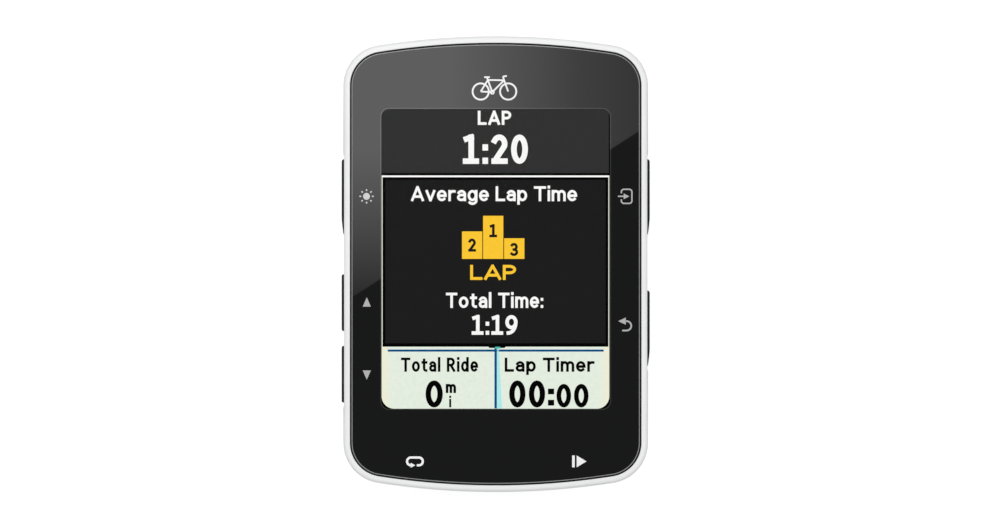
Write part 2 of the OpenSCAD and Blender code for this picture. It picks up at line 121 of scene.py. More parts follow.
def outline(inset):
    """The body's outline, set in all round."""
    corner = arc(CORNER_X, CORNER_Y, CORNER_R - inset, 0, CORNER_A, CORNER_STEPS)
    end = arc(0, END_Y, END_R - inset, CORNER_A, math.pi / 2, END_STEPS)
    return four_fold(corner + end[1:])


def rounded_outline(width, length, radius):
    """A rounded rectangle with as many points as the body's outline."""
    x, y = width / 2 - radius, length / 2 - radius
    corner = arc(x, y, radius, 0, math.pi / 2, CORNER_STEPS)
    end = [(x * (1 - i / END_STEPS), length / 2) for i in range(1, END_STEPS + 1)]
    return four_fold(corner + end)


def at(points, z, dy=0.0):
    """Points round the body's centre, raised to a height."""
    return [(x, y + BODY_Y + dy, z) for x, y in points]


def body_ring(inset, z):
    return at(outline(inset), z)


def smooth(piece, degrees=32):
    """Smooth shading, with a sharp edge where faces meet at a wider angle."""
    piece.data.shade_smooth()
    piece.data.set_sharp_from_angle(angle=math.radians(degrees))
    return piece


def piece_from(name, bm):
    bmesh.ops.recalc_face_normals(bm, faces=bm.faces)
    mesh = bpy.data.meshes.new(name)
    bm.to_mesh(mesh)
    bm.free()
    piece = bpy.data.objects.new(name, mesh)
    bpy.context.scene.collection.objects.link(piece)
    return smooth(piece)


def add_loft(bm, rings, bands=None):
    """Adds a closed solid through rings with equally many points.

    bands gives the material of each step from ring to ring, with the caps first and last.
    """
    rows = [[bm.verts.new(Vector(p) * MM) for p in ring] for ring in rings]
    bands = bands or [0] * (len(rings) + 1)
    count = len(rows[0])
    for low, high, band in zip(rows, rows[1:], bands[1:]):
        for i in range(count):
            j = (i + 1) % count
            bm.faces.new((low[i], low[j], high[j], high[i])).material_index = band
    bm.faces.new(rows[0][::-1]).material_index = bands[0]
    bm.faces.new(rows[-1]).material_index = bands[-1]


def loft(name, rings, bands=None):
    bm = bmesh.new()
    add_loft(bm, rings, bands)
    return piece_from(name, bm)


def add_prism(bm, points, z0, z1):
    add_loft(bm, [[(x, y, z0) for x, y in points], [(x, y, z1) for x, y in points]])


def prism(name, points, z0, z1):
    bm = bmesh.new()
    add_prism(bm, points, z0, z1)
    return piece_from(name, bm)


def disc(cx, cy, radius, steps=48):
    return arc(cx, cy, radius, 0, 2 * math.pi, steps)[:-1]


def block(x0, x1, y0, y1):
    return [(x0, y0), (x1, y0), (x1, y1), (x0, y1)]


def rod(name, cx, cy, radius, z0, z1):
    return prism(name, disc(cx, cy, radius), z0, z1)


def flatten_faces(piece):
    """Keeps flat faces flat next to rounded edges."""
    modifier = piece.modifiers.new("flat_faces", "WEIGHTED_NORMAL")
    modifier.keep_sharp = True
    modifier.weight = 90


def settle(piece):
    """Turns a piece's modifiers into its mesh."""
    graph = bpy.context.evaluated_depsgraph_get()
    mesh = bpy.data.meshes.new_from_object(piece.evaluated_get(graph))
    piece.modifiers.clear()
    piece.data = mesh
    return smooth(piece)


def combine(piece, others, operation="DIFFERENCE"):
    """Cuts, joins or intersects a piece with others, which are used up."""
    for other in others:
        modifier = piece.modifiers.new("combine", "BOOLEAN")
        modifier.operation = operation
        modifier.solver = "EXACT"
        modifier.object = other
        settle(piece)
        bpy.data.objects.remove(other)
    return piece


# ---------------------------------------------------------------- materials


def linear(red, green, blue):
    """A linear colour from screen values of 0 to 255."""
    def one(value):
        share = value / 255
        return share / 12.92 if share <= 0.04045 else ((share + 0.055) / 1.055) ** 2.4
    return (one(red), one(green), one(blue), 1.0)


def shader(name):
    material = bpy.data.materials.new(name)
    material.use_nodes = True
    return material, material.node_tree.nodes["Principled BSDF"]


def add_node(material, kind, **settings):
    node = material.node_tree.nodes.new(kind)
    for key, value in settings.items():
        setattr(node, key, value)
    return node


def link(material, source, target):
    material.node_tree.links.new(source, target)


def noise(material, scale, detail=3.0, stretch=(1, 1, 1)):
    """Noise over the piece's own coordinates, scale in marks per millimetre."""
    place = add_node(material, "ShaderNodeTexCoord")
    mapping = add_node(material, "ShaderNodeMapping")
    mapping.inputs["Scale"].default_value = stretch
    texture = add_node(material, "ShaderNodeTexNoise")
    texture.inputs["Scale"].default_value = scale / MM
    texture.inputs["Detail"].default_value = detail
    link(material, place.outputs["Object"], mapping.inputs["Vector"])
    link(material, mapping.outputs["Vector"], texture.inputs["Vector"])
    return texture.outputs["Fac"]


def remap(material, value, low, high, start=0.3, end=0.7):
    """Goes from low to high while the value goes from start to end."""
    node = add_node(material, "ShaderNodeMapRange")
    node.inputs["From Min"].default_value = start
    node.inputs["From Max"].default_value = end
    node.inputs["To Min"].default_value = low
    node.inputs["To Max"].default_value = high
    link(material, value, node.inputs["Value"])
    return node.outputs["Result"]


def mix_numbers(material, share, low, high):
    node = add_node(material, "ShaderNodeMix")
    link(material, share, node.inputs["Factor"])
    link(material, low, node.inputs["A"])
    link(material, high, node.inputs["B"])
    return node.outputs["Result"]


def vary_colour(material, value, colour, spread):
    """The colour, a little darker or lighter where the value is low or high."""
    ramp = add_node(material, "ShaderNodeValToRGB")
    ramp.color_ramp.elements[0].position = 0.3
    ramp.color_ramp.elements[1].position = 0.7
    for element, share in zip(ramp.color_ramp.elements, (1 - spread, 1 + spread)):
        element.color = [min(1.0, c * share) for c in colour[:3]] + [1.0]
    link(material, value, ramp.inputs["Fac"])
    return ramp.outputs["Color"]


def add_bump(material, bsdf, value, height, strength=1.0):
    """height is the depth of the marks in millimetres."""
    bump = add_node(material, "ShaderNodeBump")
    bump.inputs["Distance"].default_value = height * MM
    bump.inputs["Strength"].default_value = strength
    link(material, value, bump.inputs["Height"])
    link(material, bump.outputs["Normal"], bsdf.inputs["Normal"])


def moulded(name, colour, roughness, grain, depth, spread=0.05, specular=0.5, sheen=0.0):
    """Moulded plastic, rubber, ceramic or paint: grain in marks per millimetre, depth in millimetres."""
    material, bsdf = shader(name)
    fine = noise(material, grain)
    broad = noise(material, 0.12, detail=2.0)
    link(material, vary_colour(material, broad, colour, spread), bsdf.inputs["Base Color"])
    link(material, remap(material, fine, roughness * 0.88, roughness * 1.12), bsdf.inputs["Roughness"])
    bsdf.inputs["Specular IOR Level"].default_value = specular
    bsdf.inputs["Sheen Weight"].default_value = sheen
    if depth:
        add_bump(material, bsdf, fine, depth)
    return material


def metal(name, colour, roughness, stretch=(1, 12, 1)):
    """Metal with fine drawn marks."""
    material, bsdf = shader(name)
    marks = noise(material, 4.0, stretch=stretch)
    link(material, vary_colour(material, marks, colour, 0.1), bsdf.inputs["Base Color"])
    link(material, remap(material, marks, roughness * 0.7, roughness * 1.3), bsdf.inputs["Roughness"])
    bsdf.inputs["Metallic"].default_value = 1.0
    add_bump(material, bsdf, marks, 0.01)
    return material


def lit(name, colour, spread=0.03):
    """A lit area of the display."""
    material, bsdf = shader(name)
    cells = noise(material, 1.5)
    bsdf.inputs["Base Color"].default_value = (0.0, 0.0, 0.0, 1.0)
    bsdf.inputs["Roughness"].default_value = 0.6
    bsdf.inputs["Specular IOR Level"].default_value = 0.0
    link(material, vary_colour(material, cells, colour, spread), bsdf.inputs["Emission Color"])
    bsdf.inputs["Emission Strength"].default_value = 1.0
    return material


def side_tinted(name, colour, side_colour):
    """A lit area whose colour changes towards the display's two sides."""
    material = lit(name, colour)
    place = add_node(material, "ShaderNodeTexCoord")
    split = add_node(material, "ShaderNodeSeparateXYZ")
    away = add_node(material, "ShaderNodeMath", operation="ABSOLUTE")
    blend = add_node(material, "ShaderNodeMix", data_type="RGBA")
    target = material.node_tree.nodes["Principled BSDF"].inputs["Emission Color"]
    link(material, place.outputs["Object"], split.inputs["Vector"])
    link(material, split.outputs["X"], away.inputs[0])
    tint_from, tint_to = 0.0164, 0.0184
    share = remap(material, away.outputs["Value"], 0.0, 1.0, tint_from, tint_to)
    link(material, share, blend.inputs["Factor"])
    link(material, target.links[0].from_socket, blend.inputs["A"])
    blend.inputs["B"].default_value = side_colour
    link(material, blend.outputs["Result"], target)
    return material


def clear_plastic(name):
    """The display's pane. It bends light so little that the display behind it stays in its place."""
    material, bsdf = shader(name)
    haze = noise(material, 0.3)
    link(material, remap(material, haze, 0.0, 0.015), bsdf.inputs["Roughness"])
    bsdf.inputs["Base Color"].default_value = (0.985, 0.99, 0.99, 1.0)
    bsdf.inputs["Transmission Weight"].default_value = 1.0
    bsdf.inputs["IOR"].default_value = 1.05
    return material


MATERIALS = {
    "white_housing": moulded("white_housing", (0.9, 0.905, 0.91), 0.34, 14, 0.002, 0.02),
    "black_housing": moulded("black_housing", (0.018, 0.019, 0.021), 0.5, 9, 0.02, 0.12),
    "lens": clear_plastic("lens"),
    "lens_print": moulded("lens_print", (0.006, 0.0065, 0.007), 0.5, 8, 0.001),
    "adhesive": moulded("adhesive", (0.03, 0.03, 0.032), 0.7, 6, 0.01),
    "blue_silicone": moulded("blue_silicone", (0.06, 0.16, 0.36), 0.45, 8, 0.004),
    "grey_silicone": moulded("grey_silicone", (0.05, 0.052, 0.056), 0.55, 8, 0.006),
    "black_rubber": moulded("black_rubber", (0.016, 0.0165, 0.018), 0.62, 10, 0.012, 0.15, 0.4, 0.1),
    "button_plastic": moulded("button_plastic", (0.018, 0.0185, 0.02), 0.6, 12, 0.008, 0.1, 0.3),
    "mount_plastic": moulded("mount_plastic", (0.024, 0.025, 0.027), 0.45, 5, 0.012, 0.18),
    "screw_steel": metal("screw_steel", (0.62, 0.63, 0.65), 0.3, (1, 1, 8)),
    "insert_brass": metal("insert_brass", (0.72, 0.52, 0.22), 0.3),
    "display_glass": moulded("display_glass", (0.02, 0.022, 0.021), 0.2, 5, 0.001),
    "light_guide": moulded("light_guide", (0.85, 0.88, 0.9), 0.2, 5, 0.001),
    "tray_metal": metal("tray_metal", (0.6, 0.62, 0.64), 0.35),
    "flex_film": moulded("flex_film", (0.5, 0.24, 0.05), 0.3, 5, 0.004),
    "board": moulded("board", (0.015, 0.13, 0.06), 0.3, 3, 0.012, 0.2),
    "chip": moulded("chip", (0.025, 0.026, 0.028), 0.5, 12, 0.006),
    "shield_metal": metal("shield_metal", (0.7, 0.71, 0.72), 0.28),
    "connector": moulded("connector", (0.75, 0.72, 0.64), 0.4, 8, 0.004),
    "antenna_ceramic": moulded("antenna_ceramic", (0.62, 0.55, 0.42), 0.6, 14, 0.006),
    "switch_metal": metal("switch_metal", (0.55, 0.56, 0.58), 0.35),
    "plunger": metal("plunger", (0.7, 0.56, 0.3), 0.3),
    "membrane": moulded("membrane", (0.82, 0.84, 0.85), 0.9, 20, 0.01, 0.03, 0.3, 0.3),
    "battery_pouch": metal("battery_pouch", (0.62, 0.63, 0.66), 0.4, (3, 3, 3)),
    "tape": moulded("tape", (0.8, 0.77, 0.68), 0.8, 6, 0.01),
    "wire": moulded("wire", (0.4, 0.02, 0.015), 0.4, 8, 0.004),
}

LENS_BLACK = moulded("lens_black", (0.0042, 0.0044, 0.0048), 0.012, 0.5, 0.0)
# Painted highlight: light grey on the lens's bevel, standing in for the light that its clear edge catches.
LENS_EDGE_HIGHLIGHT = moulded("lens_edge_highlight", (0.3, 0.3, 0.303), 0.2, 6, 0.002)
# Painted shade: black for the rim's pocket wall and seat, standing in for the shade in the gap round the
# lens.
POCKET_PAINTED_SHADE = moulded("pocket_painted_shade", (0.02, 0.02, 0.021), 0.6, 8, 0.004)
INK_WHITE = moulded("ink_white", (0.95, 0.95, 0.95), 0.5, 10, 0.001, 0.03)
INK_PALE_GREY = moulded("ink_pale_grey", (0.68, 0.68, 0.68), 0.5, 10, 0.001, 0.04)
INK_GREY = moulded("ink_grey", (0.46, 0.46, 0.46), 0.5, 10, 0.001, 0.04)
WINDOW_EDGE = moulded("window_edge", (0.03, 0.03, 0.031), 0.012, 0.5, 0.0, specular=0.68)


def dress(piece, slot, *materials):
    """Gives a piece its materials, one for each of its bands, or the slot's material when none are given.
    """
    faces = piece.data.polygons
    bands = [face.material_index for face in faces]
    piece.data.materials.clear()
    for material in materials or (MATERIALS[slot],):
        piece.data.materials.append(material)
    faces.foreach_set("material_index", bands)


def place(piece, body, slot, *materials, replaces=()):
    """Dresses a piece and puts it on a body, instead of the CAD nodes that it replaces."""
    dress(piece, slot, *materials)
    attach(piece, body)
    if replaces:
        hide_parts(*replaces)
        flatten_faces(piece)


# ---------------------------------------------------------------- housings


def front_shell():
    """White rim: soft crest, a pocket for the lens whose lower wall is coloured black as painted shade in
    the gap round the lens, and the hollow behind it.
    """
    pocket_in = 1.05
    crest_r = 0.62
    soft = 0.08
    white_depth = 0.35
    seat_z = PRINT_Z - 0.1
    crest = [(crest_r - crest_r * math.cos(a), RIM_TOP - crest_r * (1 - math.sin(a)))
             for a in [math.radians(9 * i) for i in range(11)]]
    profile = [(0.32, SEAM), (0.25, SEAM + soft), (0.0, SEAM + 2.2)] + crest
    profile += [(pocket_in - soft, RIM_TOP), (pocket_in, RIM_TOP - soft)]
    white = len(profile)
    profile += [(pocket_in, RIM_TOP - white_depth), (pocket_in, seat_z)]
    # Band 1, the pocket wall below white_depth and the seat, is coloured black as painted shade for the gap
    # between rim and lens.
    bands = [0] * (white + 1) + [1, 1]
    piece = loft("front_shell", [body_ring(*step) for step in profile], bands)
    dress(piece, "white_housing", MATERIALS["white_housing"], POCKET_PAINTED_SHADE)
    shoulder_z = SEAM + 1.6
    upper_wall = 2.8
    ceiling = seat_z - 1.4
    post_r = 2.4
    insert_r = 1.4
    posts = [rod("post", x, y, post_r, SEAM + 0.1, ceiling + 1) for x, y in corner_posts()]
    hollow = loft("hollow", [body_ring(WALL, SEAM - 1), body_ring(WALL, shoulder_z)])
    upper = loft("upper", [body_ring(upper_wall, shoulder_z - 0.5), body_ring(upper_wall, ceiling)])
    combine(hollow, [upper], "UNION")
    combine(hollow, posts)
    display_hole = rounded_outline(40.5, 52.9, 0.6)
    opening = loft("opening", [at(display_hole, z) for z in (SEAM - 2, RIM_TOP + 1)])
    combine(piece, [hollow, opening])
    combine(piece, [rod("bore", x, y, insert_r, SEAM - 1, ceiling) for x, y in corner_posts()])
    combine(piece, [side_flat(side) for side in (-1, 1)])
    place(piece, "case", "white_housing", MATERIALS["white_housing"], POCKET_PAINTED_SHADE,
          replaces=["front_housing"])


def side_flat(side):
    """Tool for the shallow flat in the rim's side, from its lowest button to its highest."""
    frames = [button_frame(node) for node in SIDE_BUTTONS if BUTTONS[node][0].x * side > 0]
    low = min(along - length / 2 for along, _, length, _ in frames) - 0.1
    high = max(along + length / 2 for along, _, length, _ in frames) + 0.1
    depth, clear, slope = 0.11, 0.3, 5.0
    far = slope * (depth + clear)
    line = [(low - far, -clear), (low, depth), (high, depth), (high + far, -clear)]
    return prism("side_flat", [(side * (HALF_W - d), a) for a, d in line], SEAM - 1, RIM_TOP + 1)


def corner_posts():
    """Places of the four screw posts."""
    x, y = CORNER_X + 0.5, CORNER_Y + 0.15
    return [(sx * x, sy * y + BODY_Y) for sx in (-1, 1) for sy in (-1, 1)]


def back_profile(depth):
    """Insets and heights of the back housing's rounded lower edge, at a depth inside its surface."""
    centre_in = BACK_IN + EDGE_R
    centre_z = BACK_Z + EDGE_R
    radius = EDGE_R - depth
    angles = [math.radians(6 * i) for i in range(16)]
    return [(centre_in - radius * math.sin(a), centre_z - radius * math.cos(a)) for a in angles]


def back_outside():
    """Insets and heights of the back housing's outside, from its face up to the seam."""
    return back_profile(0) + [(BACK_IN, SEAM - 0.1), (BACK_IN + 0.08, SEAM)]


def back_shell():
    """Black shell with its posts, button slots, connector bay and screw holes."""
    tongue = [(1.7, SEAM), (1.7, SEAM + 1.0), (2.7, SEAM + 1.0), (2.7, SEAM - 0.6)]
    inside = [(BACK_IN + WALL, SEAM - 0.6)] + back_profile(WALL)[::-1]
    piece = loft("back_shell", [body_ring(*step) for step in back_outside() + tongue + inside])
    floor = BACK_Z + WALL
    rooted = floor - 0.4
    post_r, screw_r, head_r, head_depth = 2.6, 0.95, 1.7, 1.4
    board_post_r, board_screw_r, board_z = 1.7, 0.7, 12.0
    pad_r, pad_z = 14.0, 6.6
    board_posts = [(sx * 18.2, y + BODY_Y) for sx in (-1, 1) for y in (-23.5, 21.8)]
    added = [rod("post", x, y, post_r, rooted, SEAM - 0.1) for x, y in corner_posts()]
    added += [rod("post", x, y, board_post_r, rooted, board_z) for x, y in board_posts]
    added += [rod("pad", 0, 0, pad_r, rooted, pad_z)]
    combine(piece, added, "UNION")
    holes = []
    for x, y in corner_posts():
        holes += [rod("bore", x, y, screw_r, 0, SEAM + 1)]
        holes += [rod("bore", x, y, head_r, 0, BACK_Z + head_depth)]
    holes += [rod("bore", x, y, board_screw_r, floor + 1, SEAM) for x, y in board_posts]
    holes += [rod("vent", 12.0, -21.0 + BODY_Y, 0.5, 0, SEAM)]
    holes += [rod("buzzer_hole", -11.5, -23.8 + BODY_Y, 0.6, 0, floor + 1)]
    slots = [button_slot(node) for node in BUTTONS]
    combine(piece, slots + connector_bay() + holes)
    place(piece, "case", "black_housing", replaces=["back_housing"])


# ---------------------------------------------------------------- buttons

SIDE_BUTTONS = ("power_button", "up_button", "down_button", "enter_button", "back_button")
END_BUTTONS = ("lap_button", "start_button")
SLOPED = ("power_button", "enter_button", "back_button")
BUTTONS = {node: box_mm(node) for node in SIDE_BUTTONS + END_BUTTONS}
BUTTON_H = 4.0
FLANGE = 0.5


def side_point(node, along, up, depth):
    """A point at a depth inside the front housing's outline, on the side that the button is on."""
    if node in END_BUTTONS:
        reach = END_Y + math.sqrt((END_R - depth) ** 2 - along ** 2)
        return (along, BODY_Y - reach, up)
    side = 1 if BUTTONS[node][0].x > 0 else -1
    return (side * (HALF_W - depth), along, up)


def pill(length, height, radius):
    """A rounded bar's outline, with points along its straight sides."""
    x, z = length / 2 - radius, height / 2 - radius
    right = arc(x, z, radius, 0, math.pi / 2, 10)
    top = [(x - 2 * x * i / 24, height / 2) for i in range(1, 24)]
    upper = right + top + [(-a, b) for a, b in reversed(right)]
    return upper + [(-a, -b) for a, b in upper]


def button_frame(node):
    """Middle of a button along its side and in height, its length and its height."""
    low, high = BUTTONS[node]
    axis = 0 if node in END_BUTTONS else 1
    return (low[axis] + high[axis]) / 2, (low.z + high.z) / 2, high[axis] - low[axis] - 2 * FLANGE, BUTTON_H


def button_slot(node):
    """Tool for a button's slot, a little wider at its mouth."""
    along, up, length, height = button_frame(node)
    clear, mouth = 0.1, 0.12
    steps = [(-1.0, clear + mouth), (0.25, clear + mouth), (0.36, clear), (BACK_IN + WALL + 1.2, clear)]
    rings = []
    for depth, grow in steps:
        shape = pill(length + 2 * grow, height + 2 * grow, BUTTON_R + grow)
        rings.append([side_point(node, along + a, up + b, depth) for a, b in shape])
    return loft("slot", rings)


def face_depth(node, along, length):
    """How deep the button's face lies at a place along it: proud in the middle, rounded away at its ends.

    A sloped button also rises gently from its lower end.
    """
    proud = 0.05 if node in END_BUTTONS else -0.35
    ramp = 0.33 if node in SLOPED else 0.0
    ramp_length = 3.0
    end = 0.6 if node in SLOPED or node in END_BUTTONS else 0.4
    low_end = along + length / 2
    high_end = length / 2 - along
    gentle = ramp * (1 - min(1.0, low_end / ramp_length)) ** 1.3
    share = min(1.0, low_end / end, high_end / end)
    drop = BACK_IN - proud - gentle
    return proud + gentle + drop * (1 - math.sin(share * math.pi / 2)) ** 1.5


def button_cap(node):
    """A button from its pin and flange inside the housing out to its face, with a rounded edge."""
    along, up, length, height = button_frame(node)
    flange_in = BACK_IN + WALL + 0.33
    flange_end = flange_in + 0.42
    post = 0.3
    edge = 0.25
    face_insets = (0.8, 1.2, 1.5)

    def ring(shape, depth_of):
        return [side_point(node, along + a, up + b, depth_of(a)) for a, b in shape]

    pin = [(a * 0.65 / 3, b) for a, b in pill(3.0, 1.3, 0.64)]
    flange = pill(length + 2 * FLANGE, height + 0.6, BUTTON_R + 0.3)
    side = pill(length, height, BUTTON_R)
    rings = [ring(pin, lambda a: flange_end + post), ring(pin, lambda a: flange_end),
             ring(flange, lambda a: flange_end), ring(flange, lambda a: flange_in),
             ring(side, lambda a: flange_in)]
    for i in range(7):
        angle = math.radians(15 * i)
        inset = edge * (1 - math.cos(angle))
        sink = edge * (1 - math.sin(angle))
        shape = pill(length - 2 * inset, height - 2 * inset, BUTTON_R - inset)
        rings.append(ring(shape, lambda a, s=sink: min(flange_in - 0.1, face_depth(node, a, length) + s)))
    for inset in face_insets:
        shape = pill(length - 2 * inset, height - 2 * inset, BUTTON_R - inset)
        rings.append(ring(shape, lambda a: face_depth(node, a, length)))
    piece = loft(node.replace("button", "cap"), rings)
    place(piece, node, "button_plastic", replaces=[node])


# ---------------------------------------------------------------- connector bay, its cover and the hinge

LOW_END = BODY_Y - HALF_L
BAY_W = 12.4
BAY_Y = LOW_END + 3.1
BAY_TOP = 12.9
STRAP_W = 8.0
STRAP_Z = 5.2
HINGE_Y = LOW_END + 5.05
ANCHOR_L = 2.8
COVER_GAP = 0.1


def cover_outline(width, top):
    """Outline of the cover seen from the lower end: rounded above, running out below."""
    height = top + 3
    shape = rounded_outline(width, height, 1.5)
    return [(x, z + top - height / 2) for x, z in shape]


def upright(name, shape, y0, y1):
    """A solid from an outline seen from the lower end."""
    return loft(name, [[(x, y, z) for x, z in shape] for y in (y0, y1)])


def connector_bay():
    """Tools for the bay in the lower end and for the strap's channel in the back."""
    bay = upright("bay", cover_outline(BAY_W, BAY_TOP), LOW_END - 1, BAY_Y)
    strap_end = HINGE_Y + ANCHOR_L + COVER_GAP
    half = STRAP_W / 2 + COVER_GAP
    strap = prism("strap", block(-half, half, BAY_Y - 1, strap_end), 0, STRAP_Z)
    return [bay, strap]


def port_cover():
    """Rubber cover that fills the bay, with a plug for the socket and three ribs to lift it by."""
    body = loft("port_cover", [body_ring(*step) for step in back_outside()])
    shape = cover_outline(BAY_W - 2 * COVER_GAP, BAY_TOP - COVER_GAP)
    filler = upright("filler", shape, LOW_END - 1, BAY_Y - COVER_GAP)
    tail = prism("tail", block(-STRAP_W / 2, STRAP_W / 2, BAY_Y - 1, HINGE_Y - 0.9), 0, STRAP_Z - COVER_GAP)
    combine(filler, [tail], "UNION")
    combine(body, [filler], "INTERSECT")
    socket_z = (box_mm("usb_socket")[0].z + box_mm("usb_socket")[1].z) / 2
    plug = [(x, z + socket_z + 0.3) for x, z in rounded_outline(6.4, 2.6, 0.6)]
    combine(body, [upright("plug", plug, BAY_Y - 0.6, BAY_Y + 1.2)], "UNION")
    face_y = LOW_END + BACK_IN
    for i in range(3):
        z = BAY_TOP - 1.9 - 0.8 * i
        rib = [(x, z + dz) for x, dz in rounded_outline(5.0 - i, 0.34, 0.15)]
        combine(body, [upright("rib", rib, face_y - 0.2, face_y + 1.0)], "UNION")
    place(body, "usb_cover", "black_rubber", replaces=["usb_cover"])


def cover_hinge():
    """The strap between the cover and its anchor, thin at its neck."""
    z0, z1 = BACK_Z + 0.05, STRAP_Z - 0.1
    thin, tail_t = 0.55, 1.2
    neck, bend = 0.9, 0.8
    half = STRAP_W / 2
    steps = 40
    start, end = HINGE_Y + ANCHOR_L, HINGE_Y - 1.0
    rings = []
    for i in range(steps + 1):
        y = start + (end - start) * i / steps
        off = min(1.0, abs(y - HINGE_Y) / neck)
        top = z0 + thin + (z1 - z0 - thin) * off * off * (3 - 2 * off)
        if y < HINGE_Y:
            top = min(top, z0 + tail_t)
        rings.append([(x, y, z) for x, z in ((-half, z0), (half, z0), (half, top), (-half, top))])
    hinge = loft("cover_hinge", rings)
    dress(hinge, "black_rubber")
    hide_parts("cover_anchor")
    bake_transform(hinge)


# ---------------------------------------------------------------- quarter-turn mount


def turned(name, profile, steps=96):
    """A solid of revolution about the mount's axis, from its [radius, height] steps."""
    rings = [[(x, y, z) for x, y in disc(0, 0, radius, steps)] for radius, z in profile]
    return loft(name, rings)


def groove(name, outer, width, z0, z1):
    """A ring of rectangular section, as a tool to cut a groove with."""
    return combine(rod(name, 0, 0, outer, z0, z1), [rod("inner", 0, 0, outer - width, z0 - 1, z1 + 1)])


def mount_core():
    """Round insert with its two tabs, screw holes, seal groove and end notches."""
    radius = 12.3
    tab_w = 11.5
    tab_t = 1.7
    soft = 0.25
    screw_circle, screw_r, head_r, head_depth = 9.4, 0.8, 1.55, 1.2
    piece = turned("mount_core", [(radius - 0.4, 0), (radius, 0.4), (radius, BACK_Z)])
    inner_r = MOUNT_TAB_R - soft
    bar = turned("bar", [(inner_r, 0), (MOUNT_TAB_R, soft), (MOUNT_TAB_R, tab_t - soft), (inner_r, tab_t)])
    keep = prism("keep", block(-MOUNT_TAB_R - 1, MOUNT_TAB_R + 1, -tab_w / 2, tab_w / 2), -1, tab_t + 1)
    combine(bar, [keep], "INTERSECT")
    combine(piece, [bar], "UNION")
    tools = [groove("ring", 6.8, 0.8, -1, 0.3), groove("seal", 7.25, 1.1, BACK_Z - 0.55, BACK_Z + 1)]
    for angle in (45, 135, 225, 315):
        x = screw_circle * math.cos(math.radians(angle))
        y = screw_circle * math.sin(math.radians(angle))
        tools += [rod("bore", x, y, screw_r, -1, BACK_Z + 1), rod("seat", x, y, head_r, -1, head_depth)]
    notch = [(y, z + tab_t) for y, z in disc(0, 0, 0.5)]
    for side in (-1, 1):
        ends = (side * (MOUNT_TAB_R - 1.5), side * (MOUNT_TAB_R + 1))
        tools.append(loft("notch", [[(x, y, z) for y, z in notch] for x in ends]))
    combine(piece, tools)
    place(piece, "case", "mount_plastic", replaces=["mount_insert"])


# ---------------------------------------------------------------- lens


PANE_Z = LENS_TOP - 0.15
SCREEN_Z = LENS_TOP - 0.3


def front_lens():
    """Black lens whose bevelled edge is coloured light grey as a painted highlight, a line round its clear
    window and a hollow behind for the display.
    """
    window = rounded_outline(WINDOW_W + WINDOW_LINE, WINDOW_L + WINDOW_LINE, WINDOW_R + WINDOW_LINE / 2)
    clear = rounded_outline(WINDOW_W - WINDOW_LINE, WINDOW_L - WINDOW_LINE, WINDOW_R - WINDOW_LINE / 2)
    soft = 0.15
    edge = [(LENS_IN + soft * (1 - math.cos(a)), LENS_TOP - soft * (1 - math.sin(a)))
            for a in [math.radians(18 * i) for i in range(6)]]
    rings = [at(window, z, WINDOW_Y) for z in (PANE_Z, LENS_BASE)] + [body_ring(LENS_IN, LENS_BASE)]
    rings += [body_ring(*step) for step in edge]
    rings += [at(window, LENS_TOP, WINDOW_Y), at(clear, LENS_TOP, WINDOW_Y)]
    # Band 2, the bevel, takes the light grey painted highlight.
    bands = [0, 1, 1, 1] + [2] * 5 + [1, 3, 0]
    piece = loft("lens_glass", rings, bands)
    materials = (MATERIALS["lens"], LENS_BLACK, LENS_EDGE_HIGHLIGHT, WINDOW_EDGE)
    place(piece, "case", "lens", *materials, replaces=["front_lens"])


# ---------------------------------------------------------------- printed marks

INK_TOP = LENS_TOP + 0.012


def stroke(points, width):
    """The outline of a ribbon along a line of points. A line may end where it starts."""
    closed = math.dist(points[0], points[-1]) < 1e-6
    first, last = (points[-2], points[1]) if closed else (points[0], points[-1])
    left, right = [], []
    for before, (x, y), after in zip([first] + points[:-1], points, points[1:] + [last]):
        dx, dy = after[0] - before[0], after[1] - before[1]
        length = math.hypot(dx, dy)
        nx, ny = -dy / length * width / 2, dx / length * width / 2
        left.append((x + nx, y + ny))
        right.append((x - nx, y - ny))
    return left + right[::-1]


def hoop(cx, cy, radius, width):
    """A ring drawn as two halves."""
    return [stroke(arc(cx, cy, radius, start, start + math.pi, 32), width) for start in (0, math.pi)]


def marks(name, shapes, cx, cy, base, top, material, slot):
    """Thin raised shapes centred at a place on the front, each a hair higher than the one before."""
    hair = 0.0004
    bm = bmesh.new()
    for i, shape in enumerate(shapes):
        points = [(x + cx, y + cy + MARKS_UP + BODY_Y) for x, y in shape]
        add_prism(bm, points, base, top + hair * i)
    place(piece_from(name, bm), "case", slot, material)


def ink(name, shapes, cx, cy, material):
    """A printed mark on the lens."""
    marks(name, shapes, cx, cy, LENS_TOP - 0.01, INK_TOP, material, "lens_print")


def sun():
    """Sign of the backlight."""
    rays = []
    for i in range(8):
        a = math.pi * i / 4
        rays.append(stroke([(r * math.cos(a), r * math.sin(a)) for r in (0.86, 1.14)], 0.22))
    return [disc(0, 0, 0.55)] + rays


def triangle(direction):
    """Sign of up (1) or down (-1)."""
    return [[(-0.65, -0.75 * direction), (0.65, -0.75 * direction), (0, 0.75 * direction)]]


def enter():
    """An arrow into a rounded box."""
    corner = 0.42
    left, right, half = -0.74, 0.95, 1.13
    path = [(left, 0.48), (left, half - corner)]
    path += arc(left + corner, half - corner, corner, math.pi, math.pi / 2, 8)
    path += arc(right - corner, half - corner, corner, math.pi / 2, 0, 8)
    path += arc(right - corner, corner - half, corner, 0, -math.pi / 2, 8)
    path += arc(left + corner, corner - half, corner, -math.pi / 2, -math.pi, 8)
    path += [(left, -0.48)]
    arrow = [(-0.37, 0.46), (-0.37, -0.46), (0.54, 0)]
    return [stroke(path, 0.22), stroke([(-1.28, 0), (-0.3, 0)], 0.22), arrow]


